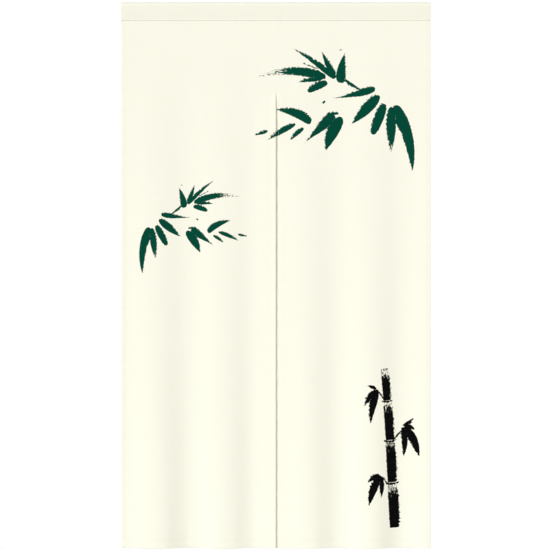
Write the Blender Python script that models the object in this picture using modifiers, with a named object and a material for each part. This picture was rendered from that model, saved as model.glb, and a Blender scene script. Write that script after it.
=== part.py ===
"""Noren: a split door curtain, made of one cloth with a rod pocket along its top.

Metres, +Z up, +X to the right as seen from the front, which faces -Y. The origin is the middle of
the top edge. Depths are measured down from that edge, and a fold stands forward towards -Y.
"""

import math
from collections import namedtuple

import bmesh
import bpy

# The hung curtain
WIDTH = 0.850
DROP = 1.500
POCKET_DEPTH = 0.050  # down to the row of stitches
SLIT_HEAD = 0.250  # down to where the slit begins
SLIT_GAP = 0.0010  # between the two edges of the slit

# The cloth and its hems, which are turned to the back
CLOTH = 0.0012
HEM = 2 * CLOTH
SIDE_HEM = 0.012
SLIT_HEM = 0.010
BOTTOM_HEM = 0.025
HEM_STEP = 0.0015  # over which the second layer of a hem ends
SEAM_GAP = 0.0003  # between the pocket and the cloth below it

# The rod pocket, seen from its end
ROD_SPACE = 0.0085  # radius of the room for a rod under the top fold
SEAM_JOIN = 0.004  # height over which the front and back of the pocket lie together
SEAM_FACE = CLOTH + SEAM_GAP / 2  # from the middle of the seam to its front and its back
POCKET_LIP = 0.004  # turned edge at the back, below the stitches
CROWN_STEPS = 18

# How the cloth hangs
PARTING = 0.060  # length below the slit's head over which its edges swing apart
EDGE_SWING = {"left": 0.0018, "right": -0.0015}
EDGE_REACH = 0.075  # how far a slit edge's swing reaches into its half
SWELL_POWER = 1.25  # how the folds grow towards the hem

Fold = namedtuple("Fold", "x_top x_hem half_width forward")
FOLDS = {
    "left": (
        Fold(x_top=-0.425, x_hem=-0.420, half_width=0.070, forward=-0.0050),
        Fold(x_top=-0.340, x_hem=-0.325, half_width=0.085, forward=0.0095),
        Fold(x_top=-0.250, x_hem=-0.232, half_width=0.075, forward=-0.0075),
        Fold(x_top=-0.150, x_hem=-0.142, half_width=0.080, forward=0.0080),
        Fold(x_top=-0.075, x_hem=-0.060, half_width=0.060, forward=-0.0045),
    ),
    "right": (
        Fold(x_top=0.070, x_hem=0.088, half_width=0.080, forward=0.0075),
        Fold(x_top=0.165, x_hem=0.176, half_width=0.070, forward=-0.0070),
        Fold(x_top=0.255, x_hem=0.262, half_width=0.085, forward=0.0100),
        Fold(x_top=0.355, x_hem=0.345, half_width=0.075, forward=-0.0080),
        Fold(x_top=0.425, x_hem=0.425, half_width=0.060, forward=0.0040),
    ),
}

# The mesh of the cloth
HALF_COLUMNS = 22  # between the hems of one half
ROWS_ABOVE_SLIT = 4
ROWS_IN_PARTING = 4
ROWS_BELOW_PARTING = 12
HEMS_BEGIN = POCKET_DEPTH + POCKET_LIP + SEAM_GAP + HEM_STEP

CREAM = (0.93, 0.90, 0.78, 1.0)
CLOTH_ROUGHNESS = 0.85


def clear_scene():
    for obj in list(bpy.data.objects):
        bpy.data.objects.remove(obj)


def cloth_material():
    material = bpy.data.materials.new("cream_cloth")
    material.use_nodes = True
    shader = material.node_tree.nodes["Principled BSDF"]
    shader.inputs["Base Color"].default_value = CREAM
    shader.inputs["Roughness"].default_value = CLOTH_ROUGHNESS
    shader.inputs["Metallic"].default_value = 0.0
    return material


def ease(share):
    share = min(max(share, 0.0), 1.0)
    return share * share * (3 - 2 * share)


def ridge(offset, half_width):
    """A soft ridge, 1 at its middle and 0 from half_width on."""
    if abs(offset) >= half_width:
        return 0.0
    return math.cos(math.pi / 2 * offset / half_width) ** 2


def forward_at(x, depth, half):
    """How far the cloth stands forward. Below the slit's head each half hangs in its own folds."""
    fall = max(depth - POCKET_DEPTH, 0.0) / (DROP - POCKET_DEPTH)
    parted = ease((depth - SLIT_HEAD) / PARTING)
    total = parted * EDGE_SWING[half] * ridge(x, EDGE_REACH)
    for side, folds in FOLDS.items():
        share = 1.0 if side == half else 1.0 - parted
        for fold in folds:
            centre = fold.x_top + (fold.x_hem - fold.x_top) * fall
            total += share * fall**SWELL_POWER * fold.forward * ridge(x - centre, fold.half_width)
    return total


def spread(start, end, steps):
    """Places from start to end, without end."""
    return [start + (end - start) * i / steps for i in range(steps)]


def column_places():
    """x of the mesh's columns: close together where a hem ends, and even between the hems."""
    edge = WIDTH / 2
    inner = SLIT_HEM + HEM_STEP
    outer = edge - SIDE_HEM - HEM_STEP
    right = [0.0, SLIT_HEM, *spread(inner, outer, HALF_COLUMNS), outer, edge - SIDE_HEM, edge]
    return [-x for x in reversed(right[1:])] + right


def row_depths():
    """Depths of the mesh's rows, from the seam under the pocket to the hem."""
    parted = SLIT_HEAD + PARTING
    hem_top = DROP - BOTTOM_HEM
    return [
        POCKET_DEPTH + SEAM_GAP,
        HEMS_BEGIN - HEM_STEP,
        *spread(HEMS_BEGIN, SLIT_HEAD, ROWS_ABOVE_SLIT),
        *spread(SLIT_HEAD, parted, ROWS_IN_PARTING),
        *spread(parted, hem_top - HEM_STEP, ROWS_BELOW_PARTING),
        hem_top - HEM_STEP,
        hem_top,
        DROP,
    ]


def in_hem(x, depth):
    slack = HEM_STEP / 2
    near_side = abs(x) > WIDTH / 2 - SIDE_HEM - slack
    near_slit = abs(x) < SLIT_HEM + slack and depth > SLIT_HEAD
    near_bottom = depth > DROP - BOTTOM_HEM - slack
    return depth > HEMS_BEGIN - slack and (near_side or near_slit or near_bottom)


def drape(sheet, columns, rows, layers):
    """Opens the slit in a flat grid of cells, and moves its points to where the cloth hangs."""

    def place(vert):
        column = round((vert.co.x + 1) / 2 * (len(columns) - 1))
        row = round((1 - vert.co.y) / 2 * (len(rows) - 1))
        return columns[column], rows[row]

    def on_slit(vert):
        x, depth = place(vert)
        return x == 0 and depth >= SLIT_HEAD

    slit = [edge for edge in sheet.edges if all(on_slit(vert) for vert in edge.verts)]
    bmesh.ops.split_edges(sheet, edges=slit)
    side = {
        vert: sum(face.calc_center_median().x for face in vert.link_faces)
        for vert in sheet.verts
    }
    for vert in sheet.verts:
        x, depth = place(vert)
        half = "left" if side[vert] < 0 else "right"
        vert[layers][0] = 1.0 if in_hem(x, depth) else CLOTH / HEM
        y = -SEAM_FACE - forward_at(x, depth, half)
        if x == 0 and depth > SLIT_HEAD:
            x = math.copysign(SLIT_GAP / 2, side[vert])
        vert.co = (x, y, -depth)


def make_cloth(collection, material):
    """The cloth below the pocket: one sheet with its slit open and its hems double."""
    columns, rows = column_places(), row_depths()
    sheet = bmesh.new()
    bmesh.ops.create_grid(
        sheet, x_segments=len(columns) - 1, y_segments=len(rows) - 1, size=1.0
    )
    drape(sheet, columns, rows, sheet.verts.layers.deform.verify())
    bmesh.ops.recalc_face_normals(sheet, faces=sheet.faces)
    if sum(face.normal.y for face in sheet.faces) > 0:
        bmesh.ops.reverse_faces(sheet, faces=sheet.faces)
    mesh = bpy.data.meshes.new("noren_cloth")
    sheet.to_mesh(mesh)
    sheet.free()
    mesh.shade_smooth()
    mesh.materials.append(material)
    cloth = bpy.data.objects.new("noren_cloth", mesh)
    cloth.vertex_groups.new(name="layers")
    collection.objects.link(cloth)
    walls = cloth.modifiers.new("layers", "SOLIDIFY")
    walls.thickness = HEM
    walls.offset = -1.0
    walls.vertex_group = "layers"
    return cloth


def pocket_outlines():
    """Outer and inner (y, z) outline of the pocket's end: round over the rod, closed at the seam."""
    outer_radius = ROD_SPACE + CLOTH
    centre_z = -outer_radius
    join_z = SEAM_JOIN - POCKET_DEPTH
    reach = math.hypot(SEAM_FACE, join_z - centre_z)
    leave = math.atan2(join_z - centre_z, SEAM_FACE) + math.acos(outer_radius / reach)
    angles = spread(leave, math.pi - leave, CROWN_STEPS) + [math.pi - leave]

    def crown(radius):
        return [(radius * math.cos(a), centre_z + radius * math.sin(a)) for a in angles]

    outer_crown, inner_crown = crown(outer_radius), crown(ROD_SPACE)
    slope = (join_z - outer_crown[0][1]) / (SEAM_FACE - outer_crown[0][0])
    inner_foot = (0.0, inner_crown[0][1] - slope * inner_crown[0][0])
    seam = [
        (-SEAM_FACE, join_z),
        (-SEAM_FACE, -POCKET_DEPTH),
        (SEAM_GAP / 2, -POCKET_DEPTH),
        (SEAM_GAP / 2, -POCKET_DEPTH - POCKET_LIP),
        (SEAM_FACE, -POCKET_DEPTH - POCKET_LIP),
        (SEAM_FACE, join_z),
    ]
    return [*outer_crown, *seam], [*inner_crown, inner_foot]


def make_pocket(collection, material):
    """The top of the cloth turned to the back and stitched down, open at both ends for a rod."""
    curve = bpy.data.curves.new("rod_pocket", "CURVE")
    curve.dimensions = "2D"
    curve.fill_mode = "BOTH"
    curve.extrude = WIDTH / 2
    for outline in pocket_outlines():
        spline = curve.splines.new("POLY")
        spline.points.add(len(outline) - 1)
        for point, (y, z) in zip(spline.points, outline):
            point.co = (y, z, 0.0, 1.0)
        spline.use_cyclic_u = True
    curve.materials.append(material)
    pocket = bpy.data.objects.new("rod_pocket", curve)
    pocket.rotation_euler = (math.pi / 2, 0.0, math.pi / 2)
    collection.objects.link(pocket)
    return pocket


def main():
    clear_scene()
    collection = bpy.data.collections.new("noren_curtain")
    bpy.context.scene.collection.children.link(collection)
    material = cloth_material()
    make_cloth(collection, material)
    make_pocket(collection, material)


main()
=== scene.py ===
"""Looks of the noren: one cream cloth with turned hems, its brush print and its sewing.

Metres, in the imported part's frame: the origin is the middle of the top edge, the printed face looks
along -Y, and depths are measured down from the top edge.
"""

import math
from collections import namedtuple

import bmesh
import bpy
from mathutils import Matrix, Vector, noise


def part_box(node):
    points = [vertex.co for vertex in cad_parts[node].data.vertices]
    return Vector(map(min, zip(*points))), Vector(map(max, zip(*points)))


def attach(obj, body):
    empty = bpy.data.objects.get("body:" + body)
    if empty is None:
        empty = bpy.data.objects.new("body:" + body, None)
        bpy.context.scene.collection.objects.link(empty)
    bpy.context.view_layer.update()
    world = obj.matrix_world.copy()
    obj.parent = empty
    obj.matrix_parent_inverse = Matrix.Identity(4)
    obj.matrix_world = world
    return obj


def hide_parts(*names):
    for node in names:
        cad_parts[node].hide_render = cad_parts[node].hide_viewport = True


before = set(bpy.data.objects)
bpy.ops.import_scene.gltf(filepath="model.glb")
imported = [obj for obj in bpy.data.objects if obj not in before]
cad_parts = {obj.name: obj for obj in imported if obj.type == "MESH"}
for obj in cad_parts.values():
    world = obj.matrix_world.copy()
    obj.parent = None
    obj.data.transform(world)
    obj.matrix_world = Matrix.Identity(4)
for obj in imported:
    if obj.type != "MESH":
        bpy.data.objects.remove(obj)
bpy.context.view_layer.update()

# The hung curtain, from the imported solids
pocket_low, pocket_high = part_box("rod_pocket")
cloth_low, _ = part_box("noren_cloth")
WIDTH = pocket_high.x - pocket_low.x
DROP = -cloth_low.z
CROWN = (pocket_high.y - pocket_low.y) / 2  # radius of the pocket's crown
FLAP_END = -pocket_low.z
SEAM = 0.050
JOIN = SEAM - 0.004  # from here down the pocket's front and back lie together
SEAM_FACE = 0.00135  # from the middle of the seam to either face
SLIT_HEAD = 0.250
SLIT_GAP = 0.0001

# The cloth's own thickness and the hems turned to its back
SHEET = 0.0005
TURN = 0.0012  # from the front of the cloth to the back of a hem at the side or the slit
SIDE_HEM = 0.012
SLIT_HEM = 0.010
BOTTOM_HEM = 0.025
HEM_TUCK = 0.002  # width of a slit hem where it begins, at the slit's head

# How the cloth hangs, as the solids do
PARTING = 0.060
EDGE_SWING = {"left": 0.0018, "right": -0.0015}
EDGE_REACH = 0.075
SWELL_POWER = 1.25

# The slit's edges curl apart a little more at once below its head
CURL = {"left": 0.0018, "right": -0.0015}
CURL_REACH = 0.012
CURL_START = 0.008

Fold = namedtuple("Fold", "x_top x_hem half_width forward")
FOLDS = {
    "left": (
        Fold(x_top=-0.425, x_hem=-0.420, half_width=0.070, forward=-0.0050),
        Fold(x_top=-0.340, x_hem=-0.325, half_width=0.085, forward=0.0095),
        Fold(x_top=-0.250, x_hem=-0.232, half_width=0.075, forward=-0.0075),
        Fold(x_top=-0.150, x_hem=-0.142, half_width=0.080, forward=0.0080),
        Fold(x_top=-0.075, x_hem=-0.060, half_width=0.060, forward=-0.0045),
    ),
    "right": (
        Fold(x_top=0.070, x_hem=0.088, half_width=0.080, forward=0.0075),
        Fold(x_top=0.165, x_hem=0.176, half_width=0.070, forward=-0.0070),
        Fold(x_top=0.255, x_hem=0.262, half_width=0.085, forward=0.0100),
        Fold(x_top=0.355, x_hem=0.345, half_width=0.075, forward=-0.0080),
        Fold(x_top=0.425, x_hem=0.425, half_width=0.060, forward=0.0040),
    ),
}

# Small unevenness that the sewing and the weave leave
PUCKER = 0.00030
PUCKER_REACH = 0.022
Wave = namedtuple("Wave", "length phase")
SEAM_WAVE = Wave(length=0.029, phase=0.4)
FOOT_WAVE = Wave(length=0.037, phase=1.9)
SIDE_WAVE = {"left": Wave(length=0.061, phase=-2.6), "right": Wave(length=0.061, phase=2.6)}
SLIT_WAVE = {"left": Wave(length=0.055, phase=1.1), "right": Wave(length=0.055, phase=3.4)}
DRIFT = 0.0007
DRIFT_SCALE = (7.0, 2.4, 0.3)  # of its noise, across and down, and its slice
SETTLED = 0.1  # below the seam, where the drift and the hems' puckers have their full size

# The mesh of the cloth, with rows and columns close together where it bends
BACK_STEPS = 6  # up the back of the pocket
CROWN_STEPS = 20  # over the rod space
FRONT_STEPS = 8  # down the front of the pocket
FOLD_STEPS = 6  # round the edge of a hem
SEAM_ROWS = (-0.0012, 0.0, 0.0012)  # from the seam
HEAD_ROWS = (0.003, 0.008, 0.015, 0.024, 0.035)  # from the slit's head
HEM_ROWS = (-0.004, 0.0, 0.0025, 0.006)  # from the top of the bottom hem
TOP_STEP = 0.009  # down to the slit's head
DOWN_STEP = 0.011  # down to the bottom hem
HEM_STEP = 0.006  # in the bottom hem
SLIT_COLUMNS = (0.0045, 0.008, 0.012)  # from the slit
SIDE_COLUMNS = (0.010, 0.005)  # from the side edge
HEM_COLUMNS = 2  # across the back of a hem
ACROSS_STEP = 0.0085
TOUCHING = 1e-5  # apart, for points that become one

# The sewing. Through is how thick the cloth is along a seam, and back_phase is how far the stitches on
# its back are moved along, in pitches
Seam = namedtuple("Seam", "x0 depth0 x1 depth1 through")
Stitch = namedtuple("Stitch", "pitch length width height sides back_phase")
POCKET_STITCH = Stitch(pitch=0.0085, length=0.0034, width=0.0017, height=0.0011, sides=8, back_phase=0.5)
HEM_STITCH = Stitch(pitch=0.0032, length=0.0028, width=0.0006, height=0.0004, sides=5, back_phase=0.0)
STITCH_RINGS = 4
HEM_LINE = 0.0025  # from the inner edge of a hem to its stitches
ROW_REST = 0.002  # from a row's end to the edge of the cloth
ROW_START = 0.006  # from the pocket's seam or the slit's head to a row's start

# Places in the photo, in its pixels
PHOTO_SIZE = 550
TOP_PX = 2.5
FOOT_PX = 548.1
MIDDLE_PX = 275.8
LENS_MM = 100.0
SENSOR_MM = 36.0

# How bright the room is before the curtain and behind it, the sun through its window and a lamp
FRONT_LIGHT = 0.75
BACK_LIGHT = 0.26
SUN = 1.90
SUN_WAY = (0.60, 0.76, -0.20)
SUN_SOFTNESS = 0.12
LAMP_WATTS = 60.0
LAMP_SIZE = 1.6
LAMP_PLACE = (1.8, 2.6, 0.4)
FLOOR_DROP = 0.45  # from the hem down to the floor
FLOOR_RADIUS = 14.0
FLOOR_BACK = 2.3  # how far the floor reaches behind the curtain

# The print. Angles are degrees from the right, anticlockwise, and point to a stroke's tip
Stroke = namedtuple("Stroke", "kind x depth angle length width bow dry")
Shape = namedtuple("Shape", "base tip")  # how fast a stroke widens from its base and narrows to its tip
SHAPES = {
    "leaf": Shape(base=0.50, tip=0.90),
    "wedge": Shape(base=0.30, tip=0.75),
    "spike": Shape(base=0.32, tip=1.00),
    "drop": Shape(base=0.45, tip=1.65),
    "blade": Shape(base=0.32, tip=0.38),
    "twig": Shape(base=0.15, tip=0.30),
    "cane": Shape(base=0.05, tip=0.05),
}
Spray = namedtuple("Spray", "x depth turn size mirror")
BIG_SPRAY = Spray(x=0.170, depth=0.206, turn=0, size=1.0, mirror=1)
SMALL_SPRAY = Spray(x=-0.247, depth=0.553, turn=6.8, size=0.686, mirror=-1)
SPRAYS_PART = 0.476  # depth between the two sprays

LEAVES = (
    Stroke("spike", x=-0.033, depth=-0.001, angle=180, length=0.188, width=0.025, bow=-0.085, dry=1.22),
    Stroke("leaf", x=-0.042, depth=0.004, angle=188, length=0.066, width=0.014, bow=-0.04, dry=0.3),
    Stroke("blade", x=-0.029, depth=0.013, angle=206, length=0.059, width=0.021, bow=-0.03, dry=0.1),
    Stroke("spike", x=-0.010, depth=0.000, angle=145, length=0.136, width=0.017, bow=-0.03, dry=0.68),
    Stroke("twig", x=-0.054, depth=-0.024, angle=160, length=0.044, width=0.003, bow=0.02, dry=0.5),
    Stroke("spike", x=-0.008, depth=0.003, angle=116, length=0.082, width=0.019, bow=0.0, dry=0.2),
    Stroke("spike", x=0.008, depth=0.015, angle=82, length=0.082, width=0.027, bow=0.03, dry=0.2),
    Stroke("twig", x=0.018, depth=0.006, angle=-33, length=0.056, width=0.009, bow=-0.02, dry=0.0),
    Stroke("drop", x=0.103, depth=0.031, angle=193, length=0.119, width=0.021, bow=0.02, dry=0.2),
    Stroke("leaf", x=0.114, depth=0.050, angle=226, length=0.108, width=0.030, bow=0.0, dry=0.76),
    Stroke("blade", x=0.128, depth=0.073, angle=249, length=0.090, width=0.027, bow=0.0, dry=0.2),
    Stroke("leaf", x=0.147, depth=0.081, angle=270, length=0.126, width=0.027, bow=0.0, dry=0.90),
    Stroke("wedge", x=0.158, depth=0.077, angle=285, length=0.186, width=0.031, bow=0.062, dry=0.4),
    Stroke("blade", x=0.160, depth=0.095, angle=285, length=0.053, width=0.016, bow=0.0, dry=0.1),
    Stroke("wedge", x=-0.073, depth=0.123, angle=160, length=0.100, width=0.026, bow=-0.09, dry=0.1),
    Stroke("leaf", x=-0.116, depth=0.128, angle=210, length=0.086, width=0.016, bow=-0.03, dry=0.2),
    Stroke("leaf", x=-0.094, depth=0.139, angle=223, length=0.049, width=0.013, bow=-0.04, dry=0.0),
    Stroke("leaf", x=-0.192, depth=0.148, angle=198, length=0.037, width=0.009, bow=-0.03, dry=0.0),
    Stroke("drop", x=-0.010, depth=0.102, angle=224, length=0.116, width=0.029, bow=0.0, dry=0.2),
    Stroke("leaf", x=0.010, depth=0.109, angle=245, length=0.101, width=0.035, bow=-0.05, dry=0.3),
    Stroke("twig", x=0.002, depth=0.099, angle=180, length=0.030, width=0.008, bow=0.0, dry=0.0),
    Stroke("blade", x=-0.035, depth=0.064, angle=236, length=0.010, width=0.006, bow=0.0, dry=0.0),
    Stroke("blade", x=0.006, depth=-0.073, angle=50, length=0.006, width=0.004, bow=0.0, dry=0.0),
)
CANE = (
    Stroke("cane", x=0.327, depth=1.444, angle=93, length=0.118, width=0.030, bow=-0.010, dry=0.9),
    Stroke("cane", x=0.320, depth=1.319, angle=93, length=0.109, width=0.028, bow=-0.010, dry=0.8),
    Stroke("cane", x=0.314, depth=1.203, angle=94, length=0.102, width=0.026, bow=-0.010, dry=0.9),
    Stroke("cane", x=0.306, depth=1.094, angle=95, length=0.088, width=0.023, bow=-0.010, dry=1.0),
    Stroke("twig", x=0.302, depth=1.321, angle=4, length=0.037, width=0.007, bow=-0.10, dry=0.1),
    Stroke("twig", x=0.297, depth=1.205, angle=5, length=0.034, width=0.007, bow=-0.10, dry=0.1),
    Stroke("twig", x=0.291, depth=1.096, angle=6, length=0.031, width=0.006, bow=-0.10, dry=0.1),
    Stroke("twig", x=0.326, depth=1.202, angle=44, length=0.046, width=0.005, bow=0.08, dry=0.2),
    Stroke("leaf", x=0.354, depth=1.166, angle=-64, length=0.092, width=0.024, bow=0.06, dry=0.5),
    Stroke("leaf", x=0.350, depth=1.162, angle=-20, length=0.036, width=0.013, bow=0.06, dry=0.3),
    Stroke("leaf", x=0.349, depth=1.168, angle=-88, length=0.080, width=0.018, bow=0.05, dry=0.4),
    Stroke("leaf", x=0.352, depth=1.164, angle=38, length=0.034, width=0.011, bow=-0.05, dry=0.3),
    Stroke("twig", x=0.298, depth=1.093, angle=132, length=0.038, width=0.005, bow=-0.08, dry=0.2),
    Stroke("leaf", x=0.278, depth=1.064, angle=232, length=0.056, width=0.018, bow=-0.06, dry=0.4),
    Stroke("leaf", x=0.280, depth=1.064, angle=258, length=0.094, width=0.021, bow=-0.05, dry=0.5),
    Stroke("leaf", x=0.276, depth=1.062, angle=160, length=0.026, width=0.010, bow=-0.05, dry=0.2),
    Stroke("twig", x=0.304, depth=1.319, angle=140, length=0.032, width=0.005, bow=-0.08, dry=0.2),
    Stroke("leaf", x=0.284, depth=1.297, angle=214, length=0.038, width=0.014, bow=-0.06, dry=0.3),
    Stroke("leaf", x=0.286, depth=1.299, angle=250, length=0.088, width=0.023, bow=-0.05, dry=0.5),
    Stroke("leaf", x=0.288, depth=1.300, angle=272, length=0.060, width=0.014, bow=0.03, dry=0.4),
)

# How the brush leaves its ink. A grain is the scale of a noise, in waves a metre
FRAY_GRAIN = 190.0
FRAY = 0.006  # how far a stroke's edges fray
ROUGH_FRAY = 0.012  # how much more they do on its rough side
ROUGH_FROM, ROUGH_FULL = 0.002, -0.004  # across a stroke, towards its rough side
EDGE_OUT, EDGE_IN = -0.0003, 0.0004  # depth in a stroke over which its ink gets its full strength
STREAK_GRAIN = 620.0
STREAK_SQUEEZE = 0.10  # of the grain along a stroke, which draws it out to streaks
STREAK_SHARE = 0.7  # of the streaks in how the ink breaks. The rest is patches
PATCH_GRAIN = 150.0
DRY_FROM, DRY_FULL = 0.20, 0.95  # how dry a place is where its ink begins to break, and breaks most
DRYNESS = 0.53  # how much of the ink is broken where the brush is dry

# The weave
LONG_GRAIN, THIN_GRAIN = 14, 420  # along and across a slub
TONE_GRAIN = 9.0
RUMPLE_GRAIN = 60.0
THREAD = 0.0009  # across one thread
WEAVE_HEIGHT = 0.0002
SHINE = 0.025  # of cloth, thread and floor, which hardly gleam

CREAM = (0.900, 0.885, 0.765, 1)
CREAM_SLUB = (0.860, 0.840, 0.705, 1)
GREEN = (0.0003, 0.058, 0.034, 1)
GREEN_THIN = (0.004, 0.086, 0.052, 1)
INK = (0.0015, 0.0015, 0.0016, 1)
INK_THIN = (0.022, 0.022, 0.023, 1)
SHOW_THROUGH = 0.22  # how much of the print shows at the back
SEAM_THREAD = (0.060, 0.060, 0.057, 1)
HEM_THREAD = (0.86, 0.84, 0.72, 1)
THREAD_SHADE = 0.8  # of the darker parts of a thread
THREAD_GRAIN = 900.0
TWIST = 9000  # of the thread, in radians a metre
FLOOR_PALE = (0.80, 0.80, 0.79, 1)
WHITE = (1, 1, 1, 1)


class Value:
    """A number that changes over a surface. Python's operators add the nodes that work it out."""

    def __init__(self, finish, socket):
        self.finish = finish
        self.socket = socket

    def __add__(self, other):
        return self.finish.math("ADD", self, other)

    def __sub__(self, other):
        return self.finish.math("SUBTRACT", self, other)

    def __rsub__(self, other):
        return self.finish.math("SUBTRACT", other, self)

    def __mul__(self, other):
        return self.finish.math("MULTIPLY", self, other)

    def __pow__(self, other):
        return self.finish.math("POWER", self, other)

    def __rpow__(self, other):
        return self.finish.math("POWER", other, self)

    def __gt__(self, other):
        return self.finish.math("GREATER_THAN", self, other)

    def __lt__(self, other):
        return self.finish.math("LESS_THAN", self, other)

    def __abs__(self):
        return self.finish.math("ABSOLUTE", self)

    __radd__ = __add__
    __rmul__ = __mul__


class Finish:
    """A material, and the ways to add nodes to it."""

    def __init__(self, name, roughness, sheen=0.0):
        self.material = bpy.data.materials.new(name)
        self.material.use_nodes = True
        self.tree = self.material.node_tree
        self.surface = self.tree.nodes["Principled BSDF"]
        self.surface.inputs["Roughness"].default_value = roughness
        self.surface.inputs["Sheen Weight"].default_value = sheen
        self.surface.inputs["Sheen Roughness"].default_value = 0.5
        self.surface.inputs["Specular IOR Level"].default_value = SHINE

    def link(self, value, socket):
        if isinstance(value, Value):
            self.tree.links.new(value.socket, socket)
        else:
            socket.default_value = value

    def add(self, kind, settings=None, values=None):
        """A node with its settings, and then the values or links of its sockets."""
        node = self.tree.nodes.new(kind)
        for name, setting in (settings or {}).items():
            setattr(node, name, setting)
        for name, value in (values or {}).items():
            self.link(value, node.inputs[name])
        return node

    def value(self, kind, settings=None, values=None, output=0):
        return Value(self, self.add(kind, settings, values).outputs[output])

    def math(self, operation, *values, clamp=False):
        settings = {"operation": operation, "use_clamp": clamp}
        return self.value("ShaderNodeMath", settings, dict(enumerate(values)))

    def split(self, vector):
        node = self.add("ShaderNodeSeparateXYZ", values={0: vector})
        return [Value(self, output) for output in node.outputs]

    def join(self, x, y, z=0.0):
        return self.value("ShaderNodeCombineXYZ", values={0: x, 1: y, 2: z})

    def pick(self, share, first, second):
        """The first vector where share is 0, and the second where it's 1."""
        values = {0: share, 4: first, 5: second}
        return self.value("ShaderNodeMix", {"data_type": "VECTOR"}, values, output=1)

    def blend(self, share, first, second):
        """The first colour where share is 0, and the second where it's 1."""
        values = {0: share, 6: first, 7: second}
        return self.value("ShaderNodeMix", {"data_type": "RGBA"}, values, output=2)

    def ease(self, value, low, high):
        """0 below low, 1 above high, and smooth between."""
        values = {"Value": value, "From Min": low, "From Max": high}
        return self.value("ShaderNodeMapRange", {"interpolation_type": "SMOOTHSTEP"}, values)

    def noise(self, vector, scale, detail=2.0, roughness=0.5):
        values = {"Vector": vector, "Scale": scale, "Detail": detail, "Roughness": roughness}
        return self.value("ShaderNodeTexNoise", {"noise_dimensions": "3D"}, values)

    def centred(self, vector, x, y, turn, scale):
        """The vector as seen from a place that is turned and scaled."""
        values = {"Vector": vector, "Location": (x, y, 0), "Rotation": (0, 0, turn), "Scale": scale}
        return self.value("ShaderNodeMapping", {"vector_type": "TEXTURE"}, values)


def ease(share):
    """0 below 0, 1 above 1, and smooth between."""
    share = min(max(share, 0.0), 1.0)
    return share * share * (3 - 2 * share)


def ridge(offset, half_width):
    """A soft ridge, 1 at its middle and 0 from half_width on."""
    if abs(offset) >= half_width:
        return 0.0
    return math.cos(math.pi / 2 * offset / half_width) ** 2


def near(distance, reach):
    """1 at a seam, and less and less away from it."""
    return math.exp(-abs(distance) / reach)


def ripple(place, wave):
    """An uneven wave along a seam."""
    rate = 2 * math.pi / wave.length
    return math.sin(rate * place + wave.phase) + 0.5 * math.sin(1.63 * rate * place + 2 * wave.phase)


def spread(start, end, steps):
    """Even places from start to end, both included. The last one is exactly the end."""
    return [start + (end - start) * i / steps for i in range(steps)] + [end]


def spaced(start, end, step):
    """Even places from start to end, both included, about a step apart."""
    return spread(start, end, max(1, round(abs(end - start) / step)))


def folds_at(x, depth, half):
    """How far the folds stand forward, as in the solids."""
    fall = max(depth - SEAM, 0.0) / (DROP - SEAM)
    parted = ease((depth - SLIT_HEAD) / PARTING)
    total = parted * EDGE_SWING[half] * ridge(x, EDGE_REACH)
    for side, folds in FOLDS.items():
        share = 1.0 if side == half else 1.0 - parted
        for fold in folds:
            centre = fold.x_top + (fold.x_hem - fold.x_top) * fall
            total += share * fall**SWELL_POWER * fold.forward * ridge(x - centre, fold.half_width)
    return total


def puckers_at(x, depth, half):
    """Small ripples along the pocket's seam, the hems and the slit."""
    parted = ease((depth - SLIT_HEAD) / PARTING)
    seam = near(depth - SEAM, PUCKER_REACH) * ripple(x, SEAM_WAVE)
    foot = near(depth - DROP + BOTTOM_HEM, PUCKER_REACH) * ripple(x, FOOT_WAVE)
    side = near(WIDTH / 2 - abs(x), PUCKER_REACH) * ripple(depth, SIDE_WAVE[half])
    slit = parted * near(x, PUCKER_REACH) * ripple(depth, SLIT_WAVE[half])
    return PUCKER * (seam + foot + ease((depth - SEAM) / SETTLED) * (side + slit))


def drift_at(x, depth, half):
    """A slow unevenness of the whole cloth, which the two halves share above the slit."""
    across, down, slice_place = DRIFT_SCALE
    if half == "right":
        slice_place += ease((depth - SLIT_HEAD) / PARTING)
    place = Vector((across * x, down * depth, slice_place))
    return DRIFT * ease((depth - SEAM) / SETTLED) * noise.noise(place)


def curl_at(x, depth, half):
    """How far an edge of the slit curls forward."""
    return ease((depth - SLIT_HEAD) / CURL_START) * CURL[half] * ridge(x, CURL_REACH)


def forward_at(x, depth, half):
    """How far the cloth stands forward of the plane in which it hangs."""
    return sum(shape(x, depth, half) for shape in (folds_at, puckers_at, drift_at, curl_at))


# A row of the mesh lies on the cloth's outer face, and inward is the way from there through the cloth
Row = namedtuple("Row", "y depth inward_y inward_depth")


def pocket_rows():
    """The cloth from its side: the flap at the back, over the rod space and down to the join."""
    drop = JOIN - CROWN
    leave = math.acos(CROWN / math.hypot(SEAM_FACE, drop)) - math.atan2(drop, SEAM_FACE)
    cos, sin = math.cos(leave), math.sin(leave)
    wider, deeper = CROWN * cos - SEAM_FACE, CROWN * (1 - sin) - JOIN
    rows = [Row(SEAM_FACE, depth, -1, 0) for depth in (FLAP_END, SEAM, JOIN)]
    for share in spread(0, 1, BACK_STEPS)[1:]:
        rows.append(Row(SEAM_FACE + wider * share, JOIN + deeper * share, -cos, sin))
    for angle in spread(leave, math.pi - leave, CROWN_STEPS)[1:-1]:
        y, rise = CROWN * math.cos(angle), CROWN * math.sin(angle)
        rows.append(Row(y, CROWN - rise, -math.cos(angle), math.sin(angle)))
    for share in spread(1, 0, FRONT_STEPS)[:-1]:
        rows.append(Row(-SEAM_FACE - wider * share, JOIN + deeper * share, cos, sin))
    return rows


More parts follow.
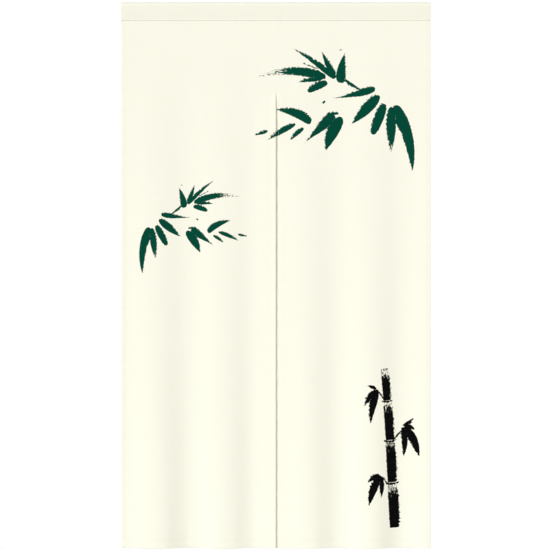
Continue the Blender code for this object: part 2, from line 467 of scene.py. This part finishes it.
def front_rows():
    """Straight down the front, from the pocket's join to the fold at the foot."""
    hem = DROP - BOTTOM_HEM
    depths = [JOIN]
    depths += [SEAM + away for away in SEAM_ROWS]
    depths += spaced(FLAP_END, SLIT_HEAD, TOP_STEP)
    depths += [SLIT_HEAD + away for away in HEAD_ROWS[:-1]]
    depths += spaced(SLIT_HEAD + HEAD_ROWS[-1], hem + HEM_ROWS[0], DOWN_STEP)
    depths += [hem + away for away in HEM_ROWS[1:-1]]
    depths += spaced(hem + HEM_ROWS[-1], DROP - SEAM_FACE, HEM_STEP)
    return [Row(-SEAM_FACE, depth, 1, 0) for depth in depths]


def foot_rows():
    """Round the fold at the foot and up the back of the bottom hem."""
    fold = DROP - SEAM_FACE
    rows = []
    for angle in spread(0, math.pi, FOLD_STEPS)[1:-1]:
        y, fall = SEAM_FACE * math.cos(angle), SEAM_FACE * math.sin(angle)
        rows.append(Row(-y, fold + fall, math.cos(angle), -math.sin(angle)))
    rows += [Row(SEAM_FACE, depth, -1, 0) for depth in spaced(fold, DROP - BOTTOM_HEM, HEM_STEP)]
    return rows


# A column has its place across the flat cloth, and then where it hangs and how far a hem takes it inward
Column = namedtuple("Column", "flat x inward")


def columns_across():
    """The right half from above, from the free edge of the slit's hem to that of the side hem."""
    radius = TURN / 2
    slit, side = SLIT_GAP / 2 + radius, WIDTH / 2 - radius
    around = radius * math.pi
    hem_places = spread(SLIT_HEM, 0, HEM_COLUMNS)[:-1]
    columns = [Column(2 * slit - x - around, x, TURN) for x in hem_places]
    for angle in spread(math.pi, 0, FOLD_STEPS):
        x = slit - radius * math.sin(angle)
        columns.append(Column(slit - radius * angle, x, radius * (1 - math.cos(angle))))
    between = [*SLIT_COLUMNS[:-1], *spaced(SLIT_COLUMNS[-1], WIDTH / 2 - SIDE_HEM, ACROSS_STEP)]
    between += [WIDTH / 2 - away for away in SIDE_COLUMNS]
    columns += [Column(x, x, 0) for x in between]
    for angle in spread(0, math.pi, FOLD_STEPS):
        x = side + radius * math.sin(angle)
        columns.append(Column(side + radius * angle, x, radius * (1 - math.cos(angle))))
    hem_places = spread(WIDTH / 2, WIDTH / 2 - SIDE_HEM, HEM_COLUMNS)[1:]
    columns += [Column(2 * side - x + around, x, TURN) for x in hem_places]
    return columns


def lengths_down(rows):
    """How far along the cloth each row lies, so that a place on the front is at its own depth."""
    total, lengths = 0.0, []
    for i, row in enumerate(rows):
        if i:
            total += math.hypot(row.y - rows[i - 1].y, row.depth - rows[i - 1].depth)
        lengths.append(total)
    seam = next(i for i, row in enumerate(rows) if row.depth == SEAM and row.inward_y == 1)
    return [SEAM + length - lengths[seam] for length in lengths]


def add_half(sheet, half, rows, columns, lengths, uv):
    """One half of the cloth: a grid of cells whose points move to where the cloth lies."""
    sign = -1 if half == "left" else 1
    head = next(i for i, row in enumerate(rows) if row.depth == SLIT_HEAD)
    edge = HEM_COLUMNS + FOLD_STEPS // 2  # the column on the slit's very edge
    across, down = len(columns) - 1, len(rows) - 1
    made = bmesh.ops.create_grid(sheet, x_segments=across, y_segments=down, size=1.0)["verts"]
    index = {
        vert: (round((vert.co.x + 1) / 2 * across), round((1 - vert.co.y) / 2 * down))
        for vert in made
    }
    faces = {face for vert in made for face in vert.link_faces}
    for face in faces:
        for loop in face.loops:
            i, j = index[loop.vert]
            loop[uv].uv = (sign * columns[i].flat, -lengths[j])
    spare = [
        face
        for face in faces
        if min(index[vert][0] for vert in face.verts) < edge
        and max(index[vert][1] for vert in face.verts) <= head
    ]
    for vert, (i, j) in index.items():
        row, column = rows[j], columns[i]
        x, inward = column.x, column.inward
        if j <= head and i < edge:
            x = min(x, HEM_TUCK)
        elif j <= head and i <= edge + FOLD_STEPS // 2:
            x, inward = max(column.flat, 0.0), 0.0
        if i == edge and j <= head:
            x = 0.0
        x *= sign
        depth = row.depth + inward * row.inward_depth
        y = row.y + inward * row.inward_y - forward_at(x, depth, half)
        vert.co = (x, y, -depth)
    if half == "left":
        bmesh.ops.reverse_faces(sheet, faces=list(faces))
    bmesh.ops.delete(sheet, geom=spare, context="FACES")


def make_sheet(front, back):
    """The whole cloth, with its hems and its pocket, and its print on the outer face."""
    rows = pocket_rows() + front_rows() + foot_rows()
    columns = columns_across()
    lengths = lengths_down(rows)
    sheet = bmesh.new()
    uv = sheet.loops.layers.uv.new("cloth")
    for half in FOLDS:
        add_half(sheet, half, rows, columns, lengths, uv)
    middle = [vert for vert in sheet.verts if abs(vert.co.x) < TOUCHING]
    bmesh.ops.remove_doubles(sheet, verts=middle, dist=TOUCHING)
    bmesh.ops.recalc_face_normals(sheet, faces=sheet.faces)
    if sum(face.normal.y * face.calc_area() for face in sheet.faces) > 0:
        bmesh.ops.reverse_faces(sheet, faces=sheet.faces)
    piece = new_piece("noren_sheet", sheet, front, back)
    walls = piece.modifiers.new("thickness", "SOLIDIFY")
    walls.thickness = SHEET
    walls.offset = -1.0
    walls.material_offset = 1
    walls.material_offset_rim = 1
    return piece


def new_piece(name, made, *materials):
    """A mesh, which takes over what was made, and its object in the scene."""
    mesh = bpy.data.meshes.new(name)
    made.to_mesh(mesh)
    made.free()
    mesh.shade_smooth()
    for material in materials:
        mesh.materials.append(material)
    piece = bpy.data.objects.new(name, mesh)
    bpy.context.scene.collection.objects.link(piece)
    return piece


def hem_seams():
    """The rows of stitches in the side hems, the slit's hems and the bottom hem."""
    side = WIDTH / 2 - SIDE_HEM + HEM_LINE
    slit = SLIT_HEM - HEM_LINE
    foot = DROP - BOTTOM_HEM + HEM_LINE
    low, reach = DROP - ROW_REST, WIDTH / 2 - ROW_REST
    seams = [Seam(sign * side, SEAM + ROW_START, sign * side, low, TURN) for sign in (-1, 1)]
    seams += [Seam(sign * slit, SLIT_HEAD + ROW_START, sign * slit, low, TURN) for sign in (-1, 1)]
    seams += [Seam(sign * ROW_REST, foot, sign * reach, foot, 2 * SEAM_FACE) for sign in (-1, 1)]
    return seams


def straight_row(stitch, start, count):
    """Stitches in a straight row from the origin towards +X. Each is a ball drawn out long."""
    made = bmesh.new()
    bmesh.ops.create_uvsphere(made, u_segments=stitch.sides, v_segments=STITCH_RINGS, radius=0.5)
    for vert in made.verts:
        co = vert.co
        vert.co = (start + co.z * stitch.length, co.x * stitch.width, co.y * stitch.height)
    template = new_piece("row", made)
    copies = template.modifiers.new("copies", "ARRAY")
    copies.count = count
    copies.use_relative_offset = False
    copies.use_constant_offset = True
    copies.constant_offset_displace = (stitch.pitch, 0, 0)
    depsgraph = bpy.context.evaluated_depsgraph_get()
    row = bpy.data.meshes.new_from_object(template.evaluated_get(depsgraph))
    bpy.data.objects.remove(template)
    return row


def add_row(sewing, seam, stitch, behind):
    """A row of stitches on one face of the cloth: a straight row first, and then laid on the cloth."""
    run = Vector((seam.x1 - seam.x0, seam.depth1 - seam.depth0))
    count = int(run.length / stitch.pitch - (stitch.back_phase if behind else 0))
    start = (run.length - (count - 1) * stitch.pitch) / 2
    run.normalize()
    row = straight_row(stitch, start, count)
    half = "left" if min(seam.x0, seam.x1) < 0 else "right"
    for vert in row.vertices:
        along, side, lift = vert.co
        x = seam.x0 + run.x * along - run.y * side
        depth = seam.depth0 + run.y * along + run.x * side
        y = -SEAM_FACE - forward_at(x, depth, half)
        vert.co = (x, y + seam.through + lift if behind else y - lift, -depth)
    sewing.from_mesh(row)
    bpy.data.meshes.remove(row)


def sew(name, seams, stitch, finish):
    """All the stitches of one kind as one piece, on both faces of the cloth."""
    sewing = bmesh.new()
    for seam in seams:
        for behind in (False, True):
            add_row(sewing, seam, stitch, behind)
    bmesh.ops.recalc_face_normals(sewing, faces=sewing.faces)
    return new_piece(name, sewing, finish)


def stroke_at(finish, place, stroke):
    """How deep a place lies inside a brush stroke, and where: along it, across it, and how dry."""
    turn = math.radians(stroke.angle)
    local = finish.centred(place, stroke.x, -stroke.depth, turn, (stroke.length, 1, 1))
    along, across, _ = finish.split(local)
    share = finish.math("ADD", along, 0.0, clamp=True)
    rest = 1 - share
    bowed = abs(across - share * rest * (4 * stroke.bow * stroke.length))
    base, tip = SHAPES[stroke.kind]
    widest = base / (base + tip)
    peak = widest**base * (1 - widest) ** tip
    half_width = share**base * rest**tip * (stroke.width / 2 / peak)
    depth = half_width - bowed - abs(along - share) * stroke.length
    return depth, finish.join(along * stroke.length, across, share * stroke.dry)


def brush(finish, place, strokes):
    """Where the strokes' ink lies, from 0 to 1: frayed at the edges and broken where it runs dry."""
    depth, local = stroke_at(finish, place, strokes[0])
    for stroke in strokes[1:]:
        next_depth, next_local = stroke_at(finish, place, stroke)
        local = finish.pick(next_depth > depth, local, next_local)
        depth = finish.math("MAXIMUM", depth, next_depth)
    along, across, dry = finish.split(local)
    fray = finish.noise(place, FRAY_GRAIN, detail=3.0, roughness=0.65) - 0.5
    streaks = finish.noise(finish.join(along * STREAK_SQUEEZE, across), STREAK_GRAIN)
    patches = finish.noise(place, PATCH_GRAIN)
    rough_side = finish.ease(across, ROUGH_FROM, ROUGH_FULL)
    inked = finish.ease(depth + fray * (rough_side * ROUGH_FRAY + FRAY), EDGE_OUT, EDGE_IN)
    dryness = finish.ease(dry, DRY_FROM, DRY_FULL) * DRYNESS
    bristles = streaks * STREAK_SHARE + patches * (1 - STREAK_SHARE)
    broken = finish.ease(dryness - bristles, -0.02, 0.03)
    return inked * (1 - broken), streaks


def spray_place(finish, place, spray):
    """The cloth as seen from a spray's knot, so that both sprays share their strokes."""
    scale = (spray.mirror * spray.size, spray.size, 1)
    return finish.centred(place, spray.x, -spray.depth, math.radians(spray.turn), scale)


def printed(finish, place, cream):
    """The cloth's colour with its print, and where the print lies."""
    share = finish.value("ShaderNodeValue", {"name": "print_share"})
    share.socket.default_value = 1.0
    lower = finish.split(place)[1] < -SPRAYS_PART
    big, small = (spray_place(finish, place, spray) for spray in (BIG_SPRAY, SMALL_SPRAY))
    leaves, leaf_streaks = brush(finish, finish.pick(lower, big, small), LEAVES)
    cane, cane_streaks = brush(finish, place, CANE)
    green = finish.blend(finish.ease(leaf_streaks, 0.55, 0.8) * 0.5, GREEN, GREEN_THIN)
    ink = finish.blend(finish.ease(cane_streaks, 0.5, 0.8) * 0.6, INK, INK_THIN)
    colour = finish.blend(leaves * share, cream, green)
    return finish.blend(cane * share, colour, ink), (leaves + cane) * share


def cloth_finish(name):
    """Cream plain weave, with slubs, its print and a fine bump."""
    finish = Finish(name, roughness=0.86, sheen=0.02)
    place = finish.value("ShaderNodeUVMap", {"uv_map": "cloth"})
    across, along, _ = finish.split(place)
    weft = finish.noise(finish.join(across * LONG_GRAIN, along * THIN_GRAIN), 1.0, detail=3.0)
    warp = finish.noise(finish.join(across * THIN_GRAIN, along * LONG_GRAIN, 5.0), 1.0, detail=3.0)
    slub = finish.ease(finish.math("MAXIMUM", weft, warp), 0.50, 0.80)
    tone = finish.noise(place, TONE_GRAIN, detail=3.0)
    cream = finish.blend(slub * 0.5 + tone * 0.25, CREAM, CREAM_SLUB)
    colour, ink = printed(finish, place, cream)
    finish.link(colour, finish.surface.inputs["Base Color"])
    finish.link(0.88 - ink * 0.1, finish.surface.inputs["Roughness"])
    rate = math.pi / THREAD
    over = finish.math("SINE", across * rate) * finish.math("SINE", along * rate)
    height = over * 0.5 + slub * 0.9 + finish.noise(place, RUMPLE_GRAIN, detail=2.0) * 1.2
    bump = {"Strength": 0.35, "Distance": WEAVE_HEIGHT, "Height": height}
    finish.link(finish.value("ShaderNodeBump", values=bump), finish.surface.inputs["Normal"])
    return finish.material


def faded_copy(material, name, share):
    """The same cloth from behind, where the print only shows through."""
    faded = material.copy()
    faded.name = name
    faded.node_tree.nodes["print_share"].outputs[0].default_value = share
    return faded


def thread_finish(name, colour):
    """Spun thread, with a fine twist and uneven tone."""
    finish = Finish(name, roughness=0.7, sheen=0.2)
    place = finish.value("ShaderNodeTexCoord", output=3)
    dark = tuple(THREAD_SHADE * part for part in colour[:3]) + (1,)
    tone = finish.noise(place, THREAD_GRAIN)
    finish.link(finish.blend(tone, dark, colour), finish.surface.inputs["Base Color"])
    x, y, z = finish.split(place)
    twist = finish.math("SINE", (x + z + y * 2) * TWIST)
    bump = {"Strength": 0.4, "Distance": 0.0001, "Height": twist}
    finish.link(finish.value("ShaderNodeBump", values=bump), finish.surface.inputs["Normal"])
    return finish.material


def make_floor():
    """A pale floor below the curtain. It ends a little behind it, out of the front view."""
    finish = Finish("floor_pale", roughness=0.9)
    finish.surface.inputs["Base Color"].default_value = FLOOR_PALE
    made = bmesh.new()
    bmesh.ops.create_circle(made, cap_ends=True, segments=96, radius=FLOOR_RADIUS)
    bmesh.ops.translate(made, verts=made.verts, vec=(0, FLOOR_BACK - FLOOR_RADIUS, -DROP - FLOOR_DROP))
    new_piece("floor", made, finish.material)


def make_room():
    """A white studio all around, brighter before the curtain than behind it."""
    world = bpy.data.worlds.new("studio")
    bpy.context.scene.world = world
    world.use_nodes = True
    nodes, links = world.node_tree.nodes, world.node_tree.links
    soft = nodes["Background"]
    soft.inputs["Color"].default_value = WHITE
    ways = nodes.new("ShaderNodeTexCoord")
    parts = nodes.new("ShaderNodeSeparateXYZ")
    dim = nodes.new("ShaderNodeMapRange")
    dim.inputs["From Min"].default_value = -1.0
    dim.inputs["To Min"].default_value = FRONT_LIGHT
    dim.inputs["To Max"].default_value = BACK_LIGHT
    links.new(ways.outputs["Generated"], parts.inputs[0])
    links.new(parts.outputs["Y"], dim.inputs["Value"])
    links.new(dim.outputs[0], soft.inputs["Strength"])
    seen = nodes.new("ShaderNodeBackground")
    seen.inputs["Color"].default_value = WHITE
    rays = nodes.new("ShaderNodeLightPath")
    either = nodes.new("ShaderNodeMixShader")
    links.new(rays.outputs["Is Camera Ray"], either.inputs[0])
    links.new(soft.outputs[0], either.inputs[1])
    links.new(seen.outputs[0], either.inputs[2])
    links.new(either.outputs[0], nodes["World Output"].inputs["Surface"])


def add_light(name, kind, energy, place, way):
    lamp = bpy.data.lights.new(name, kind)
    lamp.energy = energy
    light = bpy.data.objects.new(name, lamp)
    light.location = place
    light.rotation_euler = Vector(way).to_track_quat("-Z", "Y").to_euler()
    bpy.context.scene.collection.objects.link(light)
    return lamp


def make_lights():
    """A soft sun from the left of the front, and a lamp for the back of the curtain."""
    sun = add_light("sun", "SUN", SUN, (0, 0, 0), SUN_WAY)
    sun.angle = SUN_SOFTNESS
    middle = Vector((0, 0, -DROP / 2))
    lamp = add_light("back_fill", "AREA", LAMP_WATTS, LAMP_PLACE, middle - Vector(LAMP_PLACE))
    lamp.shape = "DISK"
    lamp.size = LAMP_SIZE


def make_camera():
    """Square on, where the cloth's edges fall on the photo's own pixels."""
    pixel = DROP / (FOOT_PX - TOP_PX)
    camera = bpy.data.cameras.new("camera")
    camera.lens = LENS_MM
    camera.sensor_width = SENSOR_MM
    distance = PHOTO_SIZE * pixel * LENS_MM / SENSOR_MM
    x = (PHOTO_SIZE / 2 - MIDDLE_PX) * pixel
    z = (TOP_PX - PHOTO_SIZE / 2) * pixel
    view = bpy.data.objects.new("camera", camera)
    view.location = (x, -distance, z)
    view.rotation_euler = (math.pi / 2, 0, 0)
    bpy.context.scene.collection.objects.link(view)
    bpy.context.scene.camera = view


def main():
    bpy.context.scene.view_settings.view_transform = "Standard"
    make_camera()
    make_room()
    make_lights()
    make_floor()
    front = cloth_finish("cream_front")
    sheet = make_sheet(front, faded_copy(front, "cream_back", SHOW_THROUGH))
    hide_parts("noren_cloth", "rod_pocket")
    pocket_seam = Seam(-WIDTH / 2, SEAM, WIDTH / 2, SEAM, 2 * SEAM_FACE)
    grey, cream = thread_finish("grey_thread", SEAM_THREAD), thread_finish("cream_thread", HEM_THREAD)
    pocket = sew("pocket_stitches", [pocket_seam], POCKET_STITCH, grey)
    hems = sew("hem_stitches", hem_seams(), HEM_STITCH, cream)
    for piece in (sheet, pocket, hems):
        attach(piece, "root")


main()
